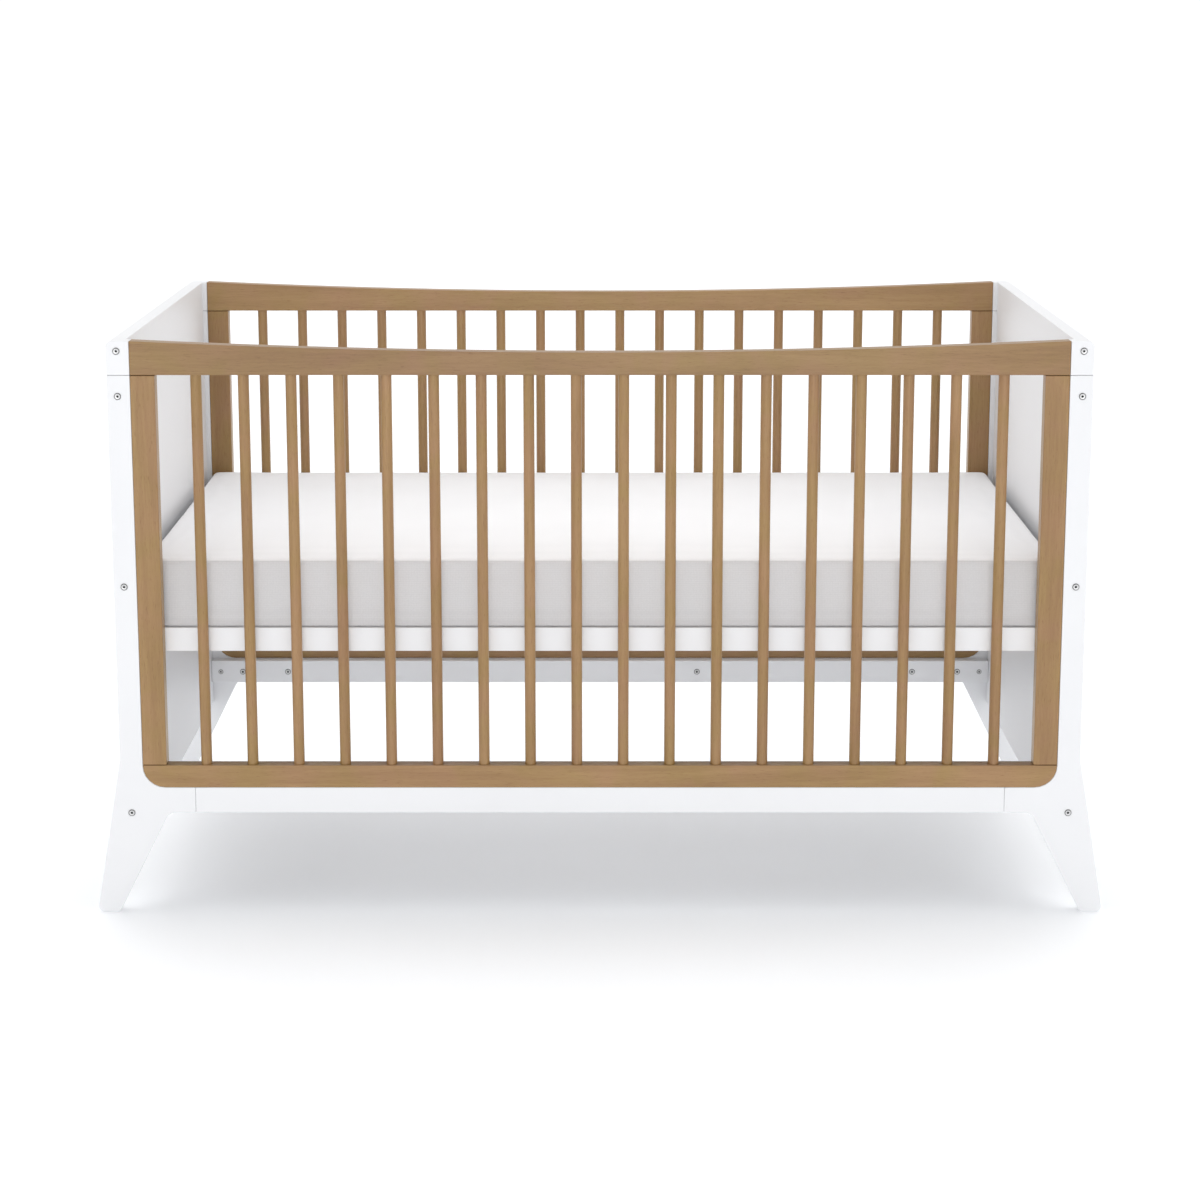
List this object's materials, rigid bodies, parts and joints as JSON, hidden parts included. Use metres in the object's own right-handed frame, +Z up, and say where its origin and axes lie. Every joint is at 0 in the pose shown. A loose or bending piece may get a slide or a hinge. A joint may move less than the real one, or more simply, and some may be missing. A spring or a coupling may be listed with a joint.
{
  "type": "baby crib",
  "caption": "Baby crib with round-spindle wooden sides in white posts, splayed legs, solid white end panels, a height-adjustable slatted base and a mattress.",
  "frame": {"origin": "on the floor under the middle of the crib", "axes": "+X along the crib's length to the viewer's right, +Y from the front side to the back side, +Z up"},
  "size_m": [1.546, 0.754, 0.89],
  "materials": {
    "stained_wood": "satin clear coat over light brown stained beech",
    "white_paint": "satin white paint on wood board",
    "mattress_fabric": "soft white knitted cover over a foam core",
    "bolt_steel": "zinc-plated connector bolts and brackets"
  },
  "bodies": {
    "frame": {"back_base_rail": "white_paint", "back_bottom_rail": "stained_wood", "back_ledge": "white_paint", "back_left_cap": "white_paint", "back_left_leg": "white_paint", "back_left_stile": "stained_wood", "back_right_cap": "white_paint", "back_right_leg": "white_paint", "back_right_stile": "stained_wood", "back_spindle_01": "stained_wood", "back_spindle_02": "stained_wood", "back_spindle_03": "stained_wood", "back_spindle_04": "stained_wood", "back_spindle_05": "stained_wood", "back_spindle_06": "stained_wood", "back_spindle_07": "stained_wood", "back_spindle_08": "stained_wood", "back_spindle_09": "stained_wood", "back_spindle_10": "stained_wood", "back_spindle_11": "stained_wood", "back_spindle_12": "stained_wood", "back_spindle_13": "stained_wood", "back_spindle_14": "stained_wood", "back_spindle_15": "stained_wood", "back_spindle_16": "stained_wood", "back_spindle_17": "stained_wood", "back_spindle_18": "stained_wood", "back_top_rail": "stained_wood", "front_base_rail": "white_paint", "front_bottom_rail": "stained_wood", "front_ledge": "white_paint", "front_left_cap": "white_paint", "front_left_leg": "white_paint", "front_left_stile": "stained_wood", "front_right_cap": "white_paint", "front_right_leg": "white_paint", "front_right_stile": "stained_wood", "front_spindle_01": "stained_wood", "front_spindle_02": "stained_wood", "front_spindle_03": "stained_wood", "front_spindle_04": "stained_wood", "front_spindle_05": "stained_wood", "front_spindle_06": "stained_wood", "front_spindle_07": "stained_wood", "front_spindle_08": "stained_wood", "front_spindle_09": "stained_wood", "front_spindle_10": "stained_wood", "front_spindle_11": "stained_wood", "front_spindle_12": "stained_wood", "front_spindle_13": "stained_wood", "front_spindle_14": "stained_wood", "front_spindle_15": "stained_wood", "front_spindle_16": "stained_wood", "front_spindle_17": "stained_wood", "front_spindle_18": "stained_wood", "front_top_rail": "stained_wood", "left_end_panel": "white_paint", "right_end_panel": "white_paint"},
    "base": {"mattress_base": "white_paint"},
    "bedding": {"mattress": "mattress_fabric"}
  },
  "joints": [
    {"name": "base_height", "type": "slide", "parent": "frame", "child": "base", "axis": [0, 0, 1], "range_m": [-0.208, 0.1]},
    {"name": "mattress_lift", "type": "slide", "parent": "base", "child": "bedding", "axis": [0, 0, 1], "range_m": [0, 0.66]}
  ]
}
